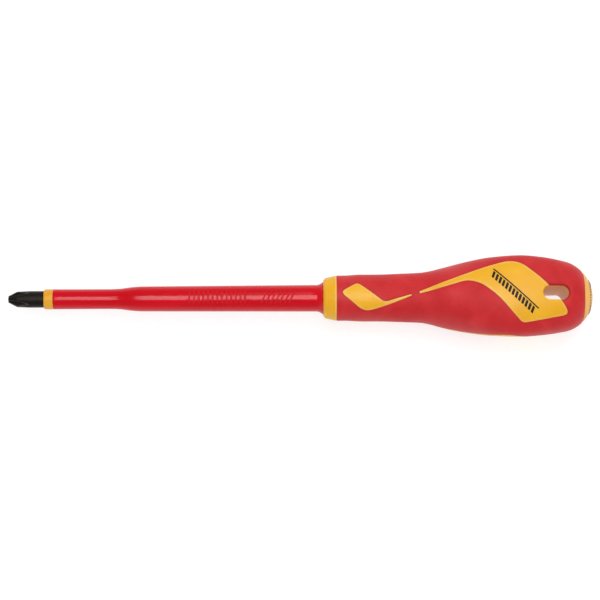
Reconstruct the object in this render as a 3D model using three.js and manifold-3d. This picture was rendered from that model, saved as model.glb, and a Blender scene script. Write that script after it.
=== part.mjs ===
// Insulated screwdriver with a size 3 cross tip and a 150 mm blade, in millimetres.
// Frame: origin at the centre of the flat end of the tip, +X back along the blade into the handle,
// +Z out of the handle face that the hanging slot opens on.
import * as THREE from "three";
import { mergeVertices } from "three/addons/utils/BufferGeometryUtils.js";
import Module from "manifold-3d";

const wasm = await Module();
wasm.setup();

// ---- Driving dimensions ----

const bladeReach = 150; // tip to the front of the handle
const bladeRadius = 3.95;
const neckRadius = 3.1; // the bar is turned down under the slim part of its insulation
const bareTip = 16.6;

const tipFlatRadius = 1.6;
const tipConeAngle = 26.5;
const tipShoulderRadius = 3.67;
const tipRunOut = 10; // where the tip's slight taper reaches the full bar
const fluteRoot = 0.95; // radius of a flute's floor at the tip
const fluteLength = 9.5;
const fluteHalfAngle = 46;

const wingSpan = 12;
const wingThickness = 2.4;
const wingLength = 14;
const barChamfer = 1;

const ringLength = 4.6; // inner insulation left showing behind the bare tip
const ringRadius = 4.8;
const ringFillet = 1;
const slimEnd = 49; // the slim part of the insulation ends here
const thickStart = 63.6;
const innerWall = 0.6;
const slimRadius = 4.76;
const thickRadius = 5.98; // outer insulation just behind its taper
const rearRadius = 6.38; // and just before its flare
const flareRadius = 7.85;
const flareLength = 2.8;
const sleeveInHandle = 20;
const sleeveTailRadius = 6;
const anchorRingHeight = 0.8;
const anchorRingWidth = 2;

const handleLength = 128.2;
const collarFrontRadius = 8.6;
const collarEdgeRadius = 9.6;
const collarEdgeLength = 1;
const collarLength = 6.1;
const gripNeckRadius = 11.2;
const bellyRadius = 19.37;
const domeRadius = 17.2;
const gripThickness = 2.2;
const capRadius = 11.5;
const capSeatDepth = 7; // body's rear face, in from the end of the dome
const spigotRadius = 7;
const spigotLength = 3;

const slotLength = 12.4;
const slotWidth = 6.8;
const slotFromEnd = 18.9; // slot centre, in from the end of the dome

const coreToSlot = 8.5; // handle body between the core and the slot
const coreBehindBar = 9.6;
const neckWall = 2.7; // handle body round the core, at the neck
const bellyWall = 4.6; // and at the belly
const coreGrooveDepth = 1.1;
const coreGrooveWidth = 3;
const coreKeyHeight = 1.3;
const coreKeyWidth = 3;
const coreKeyToEnd = 4;
const coreChamfer = 2;

const gap = 0.3; // clearance between a piece and the one moulded or pressed on to it
const sleeveGap = 0.2; // and between the layers of insulation

// ---- Places worked out from them ----

const handleEnd = bladeReach + handleLength;
const tipShoulder = (tipShoulderRadius - tipFlatRadius) / Math.tan(THREE.MathUtils.degToRad(tipConeAngle));
const ringEnd = bareTip + ringLength;
const sleeveEnd = bladeReach + sleeveInHandle;
const gripFront = bladeReach + collarLength + gap;
const capSeat = handleEnd - capSeatDepth;
const domeCentre = handleEnd - domeRadius;
const domeStart = domeCentre + Math.sqrt(domeRadius ** 2 - capRadius ** 2);
const slotCentre = handleEnd - slotFromEnd;
const coreFront = sleeveEnd + 2 * gap;
const coreEnd = slotCentre - slotLength / 2 - coreToSlot;
const barEnd = coreEnd - coreBehindBar;

const roundSides = 24; // facets round the bar, its sleeves and the hidden forms
const handleSides = 36; // and round the outside of the handle
const faceTurns = [0, 120, 240]; // the handle's three faces, turned about the blade
const beyond = 40; // radius that clears the whole handle

// ---- Solids, profiles and outlines ----

function solidFrom(geometry) {
  const bare = geometry.clone();
  bare.deleteAttribute("normal");
  bare.deleteAttribute("uv");
  const merged = mergeVertices(bare, 1e-4);
  const mesh = new wasm.Mesh({
    numProp: 3,
    vertProperties: merged.attributes.position.array,
    triVerts: new Uint32Array(merged.index.array),
  });
  return new wasm.Manifold(mesh);
}

function meshOf(solid, name, look) {
  const { vertProperties, triVerts } = solid.getMesh();
  const geometry = new THREE.BufferGeometry();
  geometry.setAttribute("position", new THREE.BufferAttribute(vertProperties, 3));
  geometry.setIndex(new THREE.BufferAttribute(triVerts, 1));
  geometry.computeVertexNormals();
  const mesh = new THREE.Mesh(geometry, new THREE.MeshStandardMaterial(look));
  mesh.name = name;
  return mesh;
}

// Turns a profile of [x, radius] points, front to back, about the blade's axis.
function turnedGeometry(profile, sides) {
  const points = profile.map(([x, radius]) => new THREE.Vector2(radius, x));
  return new THREE.LatheGeometry(points, sides).rotateZ(-Math.PI / 2);
}

function turned(profile, sides = roundSides) {
  return solidFrom(turnedGeometry(profile, sides));
}

// Closes a profile on the axis at both ends.
function closed(profile) {
  return [[profile[0][0], 0], ...profile, [profile.at(-1)[0], 0]];
}

// Moves an open profile out by a distance, with its end faces and its square corners.
function grown(profile, by) {
  const full = closed(profile);
  const edges = full.slice(1).map(([x, r], i) => {
    const [fromX, fromR] = full[i];
    const length = Math.hypot(x - fromX, r - fromR);
    return { nx: (fromR - r) / length, nr: (x - fromX) / length };
  });
  return profile.map(([x, r], i) => {
    const before = edges[i];
    const after = edges[i + 1];
    const mitre = by / (1 + before.nx * after.nx + before.nr * after.nr);
    return [x + (before.nx + after.nx) * mitre, r + (before.nr + after.nr) * mitre];
  });
}

// A smooth curve through [x, value] points that never swings past them.
function smoothThrough(points) {
  const last = points.length - 1;
  const step = (i) => points[i + 1][0] - points[i][0];
  const rise = (i) => (points[i + 1][1] - points[i][1]) / step(i);
  const slopes = points.map((_, i) => {
    if (i === 0) return rise(0);
    if (i === last) return rise(last - 1);
    if (rise(i - 1) * rise(i) <= 0) return 0;
    const near = 2 * step(i) + step(i - 1);
    const far = step(i) + 2 * step(i - 1);
    return (near + far) / (near / rise(i - 1) + far / rise(i));
  });
  return (x) => {
    const i = Math.max(0, Math.min(last - 1, points.findIndex((p) => p[0] > x) - 1));
    if (x >= points[last][0]) return points[last][1];
    const t = (x - points[i][0]) / step(i);
    const a = (1 + 2 * t) * (1 - t) ** 2;
    const b = t * (1 - t) ** 2 * step(i);
    const c = t * t * (3 - 2 * t);
    const d = t * t * (t - 1) * step(i);
    return a * points[i][1] + b * slopes[i] + c * points[i + 1][1] + d * slopes[i + 1];
  };
}

// A block of everything between two stations along the blade.
function between(from, to, radius = beyond) {
  return turned(closed([[from, radius], [to, radius]]), handleSides);
}

function onEachFace(geometry) {
  const turns = faceTurns.map((turn) => geometry.clone().rotateX(THREE.MathUtils.degToRad(turn)));
  return turns.map(solidFrom).reduce((whole, next) => whole.add(next));
}

// ---- Handle skin ----

const alongHandle = (percent) => bladeReach + (percent / 100) * handleLength;

const wingsEnd = alongHandle(54); // the wings lie where the handle begins to widen

// Mean radius along the handle: [percent of its length, share of the rise from neck to belly].
const bellyRise = [
  [4, -0.05], [8, -0.05], [13.5, 0], [19.5, 0], [28.5, 0.043], [36, 0.095], [39.7, 0.193],
  [43.4, 0.348], [47.1, 0.497], [54.5, 0.744], [62, 0.913], [73, 1], [80.5, 0.914], [84.5, 0.83],
];
const domeSkinStart = alongHandle(89.9);
const domeRadiusAt = (x) => Math.sqrt(Math.max(0, domeRadius ** 2 - (x - domeCentre) ** 2));
const bellyCurve = smoothThrough([
  ...bellyRise.map(([percent, share]) => [
    alongHandle(percent), gripNeckRadius + share * (bellyRadius - gripNeckRadius),
  ]),
  [domeSkinStart, domeRadiusAt(domeSkinStart)],
]);
const meanRadius = (x) => (x < domeSkinStart ? bellyCurve(x) : domeRadiusAt(x));

// How far the three faces are drawn in and the three lobes between them stand out.
const lobeDepth = smoothThrough([
  [alongHandle(0), 0], [alongHandle(36), 0], [alongHandle(45.5), -0.4], [alongHandle(52), 0.15],
  [alongHandle(57.5), 0.75], [alongHandle(65), 1.35], [alongHandle(73), 1.65], [alongHandle(80.5), 1.4],
  [alongHandle(88), 0.85], [domeStart, 0],
]);

// Point of a lobed section at an angle from +Z towards +Y, from its distance to its tangent lines.
function lobedPoint(radius, depth, angle) {
  const reach = radius - depth * Math.cos(3 * angle);
  const slip = 3 * depth * Math.sin(3 * angle);
  return {
    y: reach * Math.sin(angle) + slip * Math.cos(angle),
    z: reach * Math.cos(angle) - slip * Math.sin(angle),
  };
}

const skinStations = [bladeReach + collarLength / 2]
  .concat([13.5, 28.5, 36, 40, 45, 51, 58, 66, 73, 80.5, 87].map(alongHandle))
  .concat([0.28, 0.46, 0.62, 0.75, 0.9].map((share) => domeCentre + share * domeRadius));

// The handle's skin, or the same form a distance under it.
function skin(depth, sides = handleSides) {
  const stations = skinStations.map((x) => {
    const slope = (meanRadius(x + 0.01) - meanRadius(x - 0.01)) / 0.02;
    const length = Math.hypot(1, slope);
    return [x + (depth * slope) / length, meanRadius(x) - depth / length];
  });
  const geometry = turnedGeometry(closed(stations), sides);
  const position = geometry.getAttribute("position");
  for (let i = 0; i < position.count; i++) {
    const radius = Math.hypot(position.getY(i), position.getZ(i));
    const angle = Math.atan2(position.getY(i), position.getZ(i));
    const lobes = radius > 0.01 ? lobeDepth(position.getX(i)) : 0;
    const { y, z } = lobedPoint(radius, lobes, angle);
    position.setXYZ(i, position.getX(i), y, z);
  }
  return solidFrom(geometry);
}

// ---- Colour flashes ----

// Outlines on a face seen square on: [percent of the handle's length, percent of the belly's radius
// across, share of the shorter side that the corner rounds off, at most a half].
const frontFlash = [
  [6.2, 8, 0.32], [12.6, 31, 0.16], [22.5, -18.3, 0.15], [32.3, 0.3, 0.4], [32.5, -2.8, 0.4],
  [25, -22.5, 0.38], [15.1, -41, 0.32],
];
const rearFlash = [
  [35.3, 7.2, 0.45], [59.3, 65.4, 0.5], [70.8, 86.3, 0.44], [80.7, 31.5, 0.3], [87.5, -21.7, 0.29],
  [90.2, -52.4, 0.44], [72.9, -73.6, 0.12], [63.6, -5.2, 0.5], [57.7, 23.7, 0.4], [53, 33, 0.5],
  [35.3, 1.5, 0.45],
];
const roundingSteps = 3;
const longestStep = 6;
const sideBow = 0.01; // a side's bulge, as a share of its length

function roundedOutline(corners) {
  const points = corners.map(([percent, across]) => (
    new THREE.Vector2(alongHandle(percent), (across / 100) * bellyRadius)
  ));
  const outline = points.flatMap((corner, i) => {
    const into = points.at(i - 1).clone().sub(corner);
    const out = points[(i + 1) % points.length].clone().sub(corner);
    const cut = corners[i][2] * Math.min(into.length(), out.length());
    const ends = [into, out].map((side) => side.setLength(cut).add(corner));
    return new THREE.QuadraticBezierCurve(ends[0], corner, ends[1]).getPoints(roundingSteps);
  });
  return outline.flatMap((point, i) => {
    const next = outline[(i + 1) % outline.length];
    const side = next.clone().sub(point);
    const bow = new THREE.Vector2(-side.y, side.x).multiplyScalar(sideBow);
    const middle = point.clone().add(next).multiplyScalar(0.5).add(bow);
    const pieces = Math.ceil(side.length() / longestStep);
    return new THREE.QuadraticBezierCurve(point, middle, next).getPoints(pieces).slice(0, -1);
  });
}

function widened(outline, by) {
  const turn = THREE.ShapeUtils.isClockWise(outline) ? 1 : -1;
  return outline.map((point, i) => {
    const along = outline[(i + 1) % outline.length].clone().sub(outline.at(i - 1)).normalize();
    return new THREE.Vector2(point.x - turn * along.y * by, point.y + turn * along.x * by);
  });
}

// The angle at which the skin's section is a given distance across from the middle of its face.
function angleAcross(x, across) {
  let low = -Math.PI / 2;
  let high = Math.PI / 2;
  for (let i = 0; i < 40; i++) {
    const middle = (low + high) / 2;
    if (lobedPoint(meanRadius(x), lobeDepth(x), middle).y < across) low = middle;
    else high = middle;
  }
  return low;
}

// Heights of a flash's cutter over the skin: its floor, the stretch that cuts the grip, and a flat cap
// so far out that it clears the round skin.
const flashHeights = [-5, -gripThickness - 2 * gap, gap, 25];

// A prism through the skin on one face, with the flash's outline and walls square to the skin.
function flashPrism(corners, widen) {
  const outline = widened(roundedOutline(corners), widen);
  const geometry = new THREE.ExtrudeGeometry(new THREE.Shape(outline), {
    depth: flashHeights.length - 1, bevelEnabled: false, steps: flashHeights.length - 1,
  });
  const position = geometry.getAttribute("position");
  for (let i = 0; i < position.count; i++) {
    const x = position.getX(i);
    const angle = angleAcross(x, position.getY(i));
    const { y, z } = lobedPoint(meanRadius(x), lobeDepth(x), angle);
    const out = flashHeights[Math.round(position.getZ(i))];
    position.setXYZ(i, x, y + out * Math.sin(angle), z + out * Math.cos(angle));
  }
  return geometry;
}

function flashes(widen) {
  return onEachFace(flashPrism(frontFlash, widen)).add(onEachFace(flashPrism(rearFlash, widen)));
}

// The hanging slot: a long hole with round ends, across the whole handle.
function slot() {
  const half = (slotLength - slotWidth) / 2;
  const radius = slotWidth / 2;
  const shape = new THREE.Shape();
  shape.absarc(slotCentre + half, 0, radius, -Math.PI / 2, Math.PI / 2);
  shape.absarc(slotCentre - half, 0, radius, Math.PI / 2, 1.5 * Math.PI);
  const geometry = new THREE.ExtrudeGeometry(shape, {
    depth: 2 * beyond, bevelEnabled: false, steps: 1, curveSegments: 8,
  });
  return solidFrom(geometry.translate(0, 0, -beyond));
}

// ---- Blade ----

const barProfile = [
  [0, tipFlatRadius],
  [tipShoulder, tipShoulderRadius],
  [tipRunOut, bladeRadius],
  [bareTip, bladeRadius],
  [bareTip + bladeRadius - neckRadius, neckRadius],
  [slimEnd, neckRadius],
  [thickStart, bladeRadius],
  [barEnd - barChamfer, bladeRadius],
  [barEnd, bladeRadius - barChamfer],
];

function wings(widen) {
  const from = wingsEnd - wingLength - widen;
  const to = wingsEnd + widen;
  const tip = wingSpan / 2 + widen;
  const root = bladeRadius / 2;
  const lead = tip - root; // the wings' ends slope at 45 degrees
  const outline = [[from, root], [from + lead, tip], [to - lead, tip], [to, root]];
  const mirrored = outline.map(([x, y]) => [x, -y]).reverse();
  const shape = new THREE.Shape([...outline, ...mirrored].map(([x, y]) => new THREE.Vector2(x, y)));
  const thickness = wingThickness + 2 * widen;
  const geometry = new THREE.ExtrudeGeometry(shape, { depth: thickness, bevelEnabled: false, steps: 1 });
  return solidFrom(geometry.translate(0, 0, -thickness / 2));
}

function flute(turn) {
  const reach = 2 * bladeRadius;
  const half = reach * Math.tan(THREE.MathUtils.degToRad(fluteHalfAngle));
  const section = [[0, 0], [half, reach], [-half, reach]];
  const shape = new THREE.Shape(section.map(([x, y]) => new THREE.Vector2(x, y)));
  const slope = Math.atan2(bladeRadius - fluteRoot, fluteLength);
  const geometry = new THREE.ExtrudeGeometry(shape, {
    depth: 2 * fluteLength, bevelEnabled: false, steps: 1,
  });
  geometry.translate(0, 0, -fluteLength / 2).rotateY(Math.PI / 2).rotateZ(slope);
  return solidFrom(geometry.translate(0, fluteRoot, 0).rotateX(THREE.MathUtils.degToRad(turn)));
}

function blade() {
  const bar = turned(closed(barProfile)).add(wings(0));
  return [45, 135, 225, 315].reduce((cut, turn) => cut.subtract(flute(turn)), bar);
}

// The bar as its mouldings see it.
function bladeSpace(widen) {
  return turned(closed(grown(barProfile.slice(3), widen))).add(wings(widen));
}

// ---- Insulation ----

const innerSlimRadius = neckRadius + sleeveGap + innerWall;
const innerThickRadius = bladeRadius + sleeveGap + innerWall;
const ringArc = [0, 30, 60, 90].map((degrees) => {
  const angle = THREE.MathUtils.degToRad(degrees);
  return [
    bareTip + gap + ringFillet * (1 - Math.cos(angle)),
    ringRadius - ringFillet * (1 - Math.sin(angle)),
  ];
});
const innerProfile = [
  ...ringArc,
  [ringEnd, ringRadius],
  [ringEnd, innerSlimRadius],
  [slimEnd, innerSlimRadius],
  [thickStart, innerThickRadius],
  [sleeveEnd, innerThickRadius],
];
const layerProfile = innerProfile.slice(ringArc.length + 1);

function sleeveBore(from, to, radiusGap) {
  return [
    [from, neckRadius + radiusGap],
    [slimEnd, neckRadius + radiusGap],
    [thickStart, bladeRadius + radiusGap],
    [to, bladeRadius + radiusGap],
  ];
}

function innerInsulation() {
  const barSpace = turned(closed(sleeveBore(bareTip - 1, sleeveEnd + 1, sleeveGap)));
  const shoulder = turned(closed(grown(barProfile.slice(2, 6), sleeveGap)));
  return turned(closed(innerProfile)).subtract(barSpace).subtract(shoulder);
}

// Two rings round the sleeve, in grooves of the handle body.
function anchorRings(widen) {
  const pitch = sleeveInHandle / 3;
  const radius = sleeveTailRadius + anchorRingHeight + widen;
  const half = anchorRingWidth / 2 + widen;
  const rings = [1, 2].map((i) => between(
    bladeReach + i * pitch - half, bladeReach + i * pitch + half, radius,
  ));
  return rings[0].add(rings[1]);
}

const taperEase = 3; // length over which the sleeve's taper blends into its straights
const frontLip = 0.05; // the sleeve's front edge stands up by this, behind a small chamfer
const frontChamfer = 0.2;
const frontEase = 12;
const flareBend = 1.6;
const slimCurve = smoothThrough([
  [slimEnd, slimRadius],
  [slimEnd + taperEase, slimRadius + 0.1],
  [thickStart - taperEase, thickRadius - 0.15],
  [thickStart, thickRadius],
]);
const flareStart = bladeReach - gap - flareLength;
const flareCurve = (share) => [
  flareStart + share * flareLength,
  rearRadius + (flareRadius - rearRadius) * share ** flareBend,
];
const outerProfile = [
  [ringEnd + sleeveGap, slimRadius + frontLip - frontChamfer],
  [ringEnd + sleeveGap + 3 * frontChamfer, slimRadius + frontLip],
  [ringEnd + frontEase, slimRadius],
  ...[0, 0.2, 0.4, 0.6, 0.8].map((share) => {
    const x = slimEnd + share * (thickStart - slimEnd);
    return [x, slimCurve(x)];
  }),
  [thickStart, thickRadius],
  ...[0, 0.25, 0.5, 0.75, 1].map(flareCurve),
  [bladeReach - gap, sleeveTailRadius],
  [sleeveEnd, sleeveTailRadius],
];

function outerInsulation() {
  const layer = grown(layerProfile, sleeveGap);
  layer[0][0] = ringEnd - 1;
  layer[layer.length - 1][0] = sleeveEnd + 1;
  return turned(closed(outerProfile)).add(anchorRings(0)).subtract(turned(closed(layer)));
}

// ---- Handle ----

const coreNeckRadius = gripNeckRadius - gripThickness - neckWall;
const coreBellyRadius = bellyRadius - gripThickness - bellyWall;
const coreFollow = 0.8; // the core widens by this share of the handle's own widening
const coreRadius = (x) => (
  Math.min(coreBellyRadius, coreNeckRadius + coreFollow * (meanRadius(x) - gripNeckRadius))
);
const coreProfile = [
  ...[coreFront, ...[36, 44, 52].map(alongHandle)].map((x) => [x, coreRadius(x)]),
  ...[56.6, 63.8].map(alongHandle).flatMap((middle) => {
    const from = middle - coreGrooveWidth / 2;
    const to = middle + coreGrooveWidth / 2;
    return [
      [from, coreRadius(from)],
      [from, coreRadius(from) - coreGrooveDepth],
      [to, coreRadius(to) - coreGrooveDepth],
      [to, coreRadius(to)],
    ];
  }),
  [coreEnd - coreChamfer, coreRadius(coreEnd - coreChamfer)],
  [coreEnd, coreRadius(coreEnd) - coreChamfer],
];
const coreKeyFront = alongHandle(58);

// The core's outer form: turned, with grooves, and one key under each lobe of the handle.
function coreForm(widen) {
  const form = turned(closed(grown(coreProfile, widen)));
  const height = coreBellyRadius + coreKeyHeight + widen;
  const length = coreEnd - coreKeyToEnd - coreKeyFront;
  const key = new THREE.BoxGeometry(length + 2 * widen, coreKeyWidth + 2 * widen, height);
  key.translate(coreKeyFront + length / 2, 0, -height / 2);
  return form.add(onEachFace(key));
}

function anchorCore() {
  return coreForm(0).subtract(bladeSpace(gap));
}

const socketFloor = capSeat - spigotLength;

function handleBody() {
  const collar = turned(closed([
    [bladeReach, collarFrontRadius],
    [bladeReach + collarEdgeLength, collarEdgeRadius],
    [bladeReach + collarLength, meanRadius(gripFront)],
  ]), handleSides);
  const shoulder = bladeReach + collarLength - 1;
  const underSkin = skin(gripThickness + gap, roundSides).intersect(between(shoulder, capSeat));
  const islands = skin(0).intersect(flashes(0)).intersect(between(gripFront, capSeat));
  const sleeveSpace = between(bladeReach - 1, sleeveEnd + gap, sleeveTailRadius + gap);
  const socket = between(socketFloor, capSeat + 1, spigotRadius + gap);
  return collar.add(underSkin).add(islands)
    .subtract(sleeveSpace.add(anchorRings(gap)))
    .subtract(coreForm(gap))
    .subtract(between(sleeveEnd, coreFront, coreNeckRadius))
    .subtract(socket)
    .subtract(slot());
}

function softGrip() {
  return skin(0).intersect(between(gripFront, domeStart))
    .subtract(skin(gripThickness, roundSides))
    .subtract(flashes(gap))
    .subtract(between(capSeat - gap, handleEnd, capRadius + gap))
    .subtract(slot());
}

function endCap() {
  const dome = [0, 1, 2, 3, 4, 5].map((step) => {
    const angle = Math.asin(capRadius / domeRadius) * (1 - step / 5);
    return [domeCentre + domeRadius * Math.cos(angle), domeRadius * Math.sin(angle)];
  });
  const profile = [
    [socketFloor + gap, 0],
    [socketFloor + gap, spigotRadius],
    [capSeat + gap, spigotRadius],
    [capSeat + gap, capRadius],
    ...dome,
  ];
  return turned(profile, handleSides);
}

// ---- The assembly ----

const yellowPlastic = { color: 0xe9ac2e, roughness: 0.4, metalness: 0 };
const screwdriver = new THREE.Group();
screwdriver.add(
  meshOf(blade(), "blade", { color: 0x2b2723, roughness: 0.6, metalness: 0.8 }),
  meshOf(innerInsulation(), "inner_insulation", { ...yellowPlastic }),
  meshOf(outerInsulation(), "outer_insulation", { color: 0xc51a27, roughness: 0.25, metalness: 0 }),
  meshOf(anchorCore(), "anchor_core", { color: 0x9a9a94, roughness: 0.5, metalness: 0 }),
  meshOf(handleBody(), "handle_body", { ...yellowPlastic }),
  meshOf(softGrip(), "soft_grip", { color: 0xbe2f30, roughness: 0.75, metalness: 0 }),
  meshOf(endCap(), "end_cap", { ...yellowPlastic }),
);

export default screwdriver;
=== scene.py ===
import math

import bmesh
import bpy
import numpy as np
from mathutils import Matrix, Vector
from mathutils.geometry import delaunay_2d_cdt


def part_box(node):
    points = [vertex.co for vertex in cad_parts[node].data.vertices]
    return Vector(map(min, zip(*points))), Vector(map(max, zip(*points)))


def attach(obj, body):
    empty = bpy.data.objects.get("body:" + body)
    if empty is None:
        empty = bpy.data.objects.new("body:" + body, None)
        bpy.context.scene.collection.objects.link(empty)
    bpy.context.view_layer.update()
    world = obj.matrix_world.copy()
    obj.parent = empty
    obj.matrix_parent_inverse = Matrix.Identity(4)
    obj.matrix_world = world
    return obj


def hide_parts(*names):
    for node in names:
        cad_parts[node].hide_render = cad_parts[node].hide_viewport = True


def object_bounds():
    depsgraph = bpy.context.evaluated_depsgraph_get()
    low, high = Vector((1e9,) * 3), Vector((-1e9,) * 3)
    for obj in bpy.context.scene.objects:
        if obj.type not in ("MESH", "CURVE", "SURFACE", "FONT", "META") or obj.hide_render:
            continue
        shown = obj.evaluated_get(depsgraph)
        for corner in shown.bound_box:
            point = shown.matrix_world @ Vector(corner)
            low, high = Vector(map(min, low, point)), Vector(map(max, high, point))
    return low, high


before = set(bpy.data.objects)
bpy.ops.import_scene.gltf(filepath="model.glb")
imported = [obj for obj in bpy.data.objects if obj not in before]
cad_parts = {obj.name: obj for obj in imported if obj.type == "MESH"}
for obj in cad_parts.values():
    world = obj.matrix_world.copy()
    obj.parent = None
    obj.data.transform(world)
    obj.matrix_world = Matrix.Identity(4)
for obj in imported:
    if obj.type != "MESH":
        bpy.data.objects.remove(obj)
cad_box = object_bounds()
scene = bpy.context.scene

MM = 0.001


# ---- Materials ----


def linear(hex_colour):
    """An sRGB hex colour as the linear RGBA that the nodes take."""
    channels = [int(hex_colour[i : i + 2], 16) / 255 for i in (1, 3, 5)]
    return [c / 12.92 if c <= 0.04045 else ((c + 0.055) / 1.055) ** 2.4 for c in channels] + [1.0]


def add(tree, kind, inputs=None, stops=(), **settings):
    """Adds a node with its settings. An input given as another node, for its first output, or as an output is
    linked, and any other is set. The stops of a colour ramp are pairs of position and hex colour."""
    made = tree.nodes.new(kind)
    for name, value in settings.items():
        setattr(made, name, value)
    for name, value in (inputs or {}).items():
        if isinstance(value, bpy.types.Node):
            tree.links.new(value.outputs[0], made.inputs[name])
        elif isinstance(value, bpy.types.NodeSocket):
            tree.links.new(value, made.inputs[name])
        else:
            made.inputs[name].default_value = value
    while stops and len(made.color_ramp.elements) < len(stops):
        made.color_ramp.elements.new(0.5)
    for i, (position, colour) in enumerate(stops):
        made.color_ramp.elements[i].position = position
        made.color_ramp.elements[i].color = linear(colour)
    return made


def material(name):
    """An empty node material, its tree, and the piece's own coordinates."""
    made = bpy.data.materials.new(name)
    made.use_nodes = True
    tree = made.node_tree
    tree.nodes.clear()
    return made, tree, add(tree, "ShaderNodeTexCoord").outputs["Object"]


def per_mm(size):
    """A texture's scale on Object coordinates, in metres, for a feature of that size in millimetres."""
    return 1.0 / (size * MM)


def flecked(tree, under, noise, low, high, most, hex_colour):
    """A colour with flecks of another where the noise is high, from low up to high, and at most so strong."""
    amount = add(
        tree,
        "ShaderNodeMapRange",
        {"Value": noise, "From Min": low, "From Max": high, "To Min": 0.0, "To Max": most},
    )
    mixed = add(tree, "ShaderNodeMix", {"Factor": amount, 6: under, 7: linear(hex_colour)}, data_type="RGBA")
    return mixed.outputs[2]


def edged(tree, under, most, hex_colour):
    """A colour with another laid over it, at most so strong, where a point is marked: worn metal, or painted
    shade and painted light on plastic.
    """
    edge = add(tree, "ShaderNodeAttribute", attribute_name="edge").outputs["Fac"]
    amount = add(tree, "ShaderNodeMath", {0: edge, 1: most}, operation="MULTIPLY")
    mixed = add(tree, "ShaderNodeMix", {"Factor": amount, 6: under, 7: linear(hex_colour)}, data_type="RGBA")
    return mixed.outputs[2]


def moulded_yellow(name, deep, middle, light, roughness):
    """Yellow plastic from a smooth mould: a satin skin with broad, faint swirls where the pigment flowed, a
    soft orange peel in the gloss, and a pale colour painted where points are marked: a painted highlight
    along rims, and painted light on the slot's wall."""
    made, tree, place = material(name)
    flow = add(
        tree,
        "ShaderNodeTexNoise",
        {"Vector": place, "Scale": per_mm(14), "Detail": 3.0, "Roughness": 0.45, "Distortion": 0.6},
    )
    pigment = add(
        tree, "ShaderNodeValToRGB", {"Fac": flow}, stops=[(0.3, deep), (0.52, middle), (0.72, light)]
    )
    # Handling dulls and greys the colour in specks just under a millimetre across.
    speck = add(
        tree, "ShaderNodeTexNoise", {"Vector": place, "Scale": per_mm(0.9), "Detail": 4.0, "Roughness": 0.6}
    )
    soiled = flecked(tree, pigment, speck, 0.6, 0.8, 0.1, "#B98A35")
    # Painted light: the pale colour stands in for highlights along rims and for light on the slot's wall.
    colour = edged(tree, soiled, 0.8, "#FFCB80")
    peel = add(
        tree, "ShaderNodeTexNoise", {"Vector": place, "Scale": per_mm(0.7), "Detail": 2.0, "Roughness": 0.5}
    )
    gloss = add(
        tree,
        "ShaderNodeMapRange",
        {
            "Value": peel,
            "From Min": 0.3,
            "From Max": 0.7,
            "To Min": roughness - 0.05,
            "To Max": roughness + 0.07,
        },
    )
    bump = add(tree, "ShaderNodeBump", {"Height": peel, "Strength": 0.12, "Distance": 0.04 * MM})
    shader = add(
        tree,
        "ShaderNodeBsdfPrincipled",
        {
            "Base Color": colour,
            "Roughness": gloss,
            "Normal": bump,
            "IOR": 1.49,
            "Specular IOR Level": 0.4,
            "Subsurface Weight": 0.35,
            "Subsurface Scale": 2.5 * MM,
            "Subsurface Radius": (1.0, 0.6, 0.2),
        },
    )
    add(tree, "ShaderNodeOutputMaterial", {"Surface": shader})
    return made


def soft_touch_red():
    """Thermoplastic elastomer over-moulded in a spark-eroded tool: the fine matt texture scatters light, so
    it looks even in the middle and chalky pink where it turns away, and a little shiny where hands rub."""
    made, tree, place = material("tpe_soft_touch_red")
    cloud = add(
        tree,
        "ShaderNodeTexNoise",
        {"Vector": place, "Scale": per_mm(9), "Detail": 4.0, "Roughness": 0.55, "Distortion": 0.3},
    )
    pigment = add(
        tree,
        "ShaderNodeValToRGB",
        {"Fac": cloud},
        stops=[(0.28, "#BD1219"), (0.5, "#C61A20"), (0.72, "#CF252A")],
    )
    # Eroded texture is about 0.1 mm; it is drawn at 0.45 mm so that it shows at arm's length.
    grain = add(
        tree, "ShaderNodeTexNoise", {"Vector": place, "Scale": per_mm(0.45), "Detail": 3.0, "Roughness": 0.65}
    )
    dusty = flecked(tree, pigment, grain, 0.5, 0.8, 0.22, "#D04A48")
    # Painted shade: a darker red round the flash windows and the slot's rolled rim, where the grip dips away
    # from the light.
    colour = edged(tree, dusty, 0.3, "#8E1A1C")
    rubbed = add(
        tree, "ShaderNodeTexNoise", {"Vector": place, "Scale": per_mm(22), "Detail": 2.0, "Roughness": 0.5}
    )
    gloss = add(
        tree,
        "ShaderNodeMapRange",
        {"Value": rubbed, "From Min": 0.3, "From Max": 0.7, "To Min": 0.52, "To Max": 0.68},
    )
    bump = add(tree, "ShaderNodeBump", {"Height": grain, "Strength": 0.3, "Distance": 0.08 * MM})
    shader = add(
        tree,
        "ShaderNodeBsdfPrincipled",
        {
            "Base Color": colour,
            "Roughness": gloss,
            "Normal": bump,
            "IOR": 1.5,
            "Specular IOR Level": 0.35,
            "Sheen Weight": 0.2,
            "Sheen Roughness": 0.4,
            "Sheen Tint": linear("#F2B0AC"),
        },
    )
    add(tree, "ShaderNodeOutputMaterial", {"Surface": shader})
    return made


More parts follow.
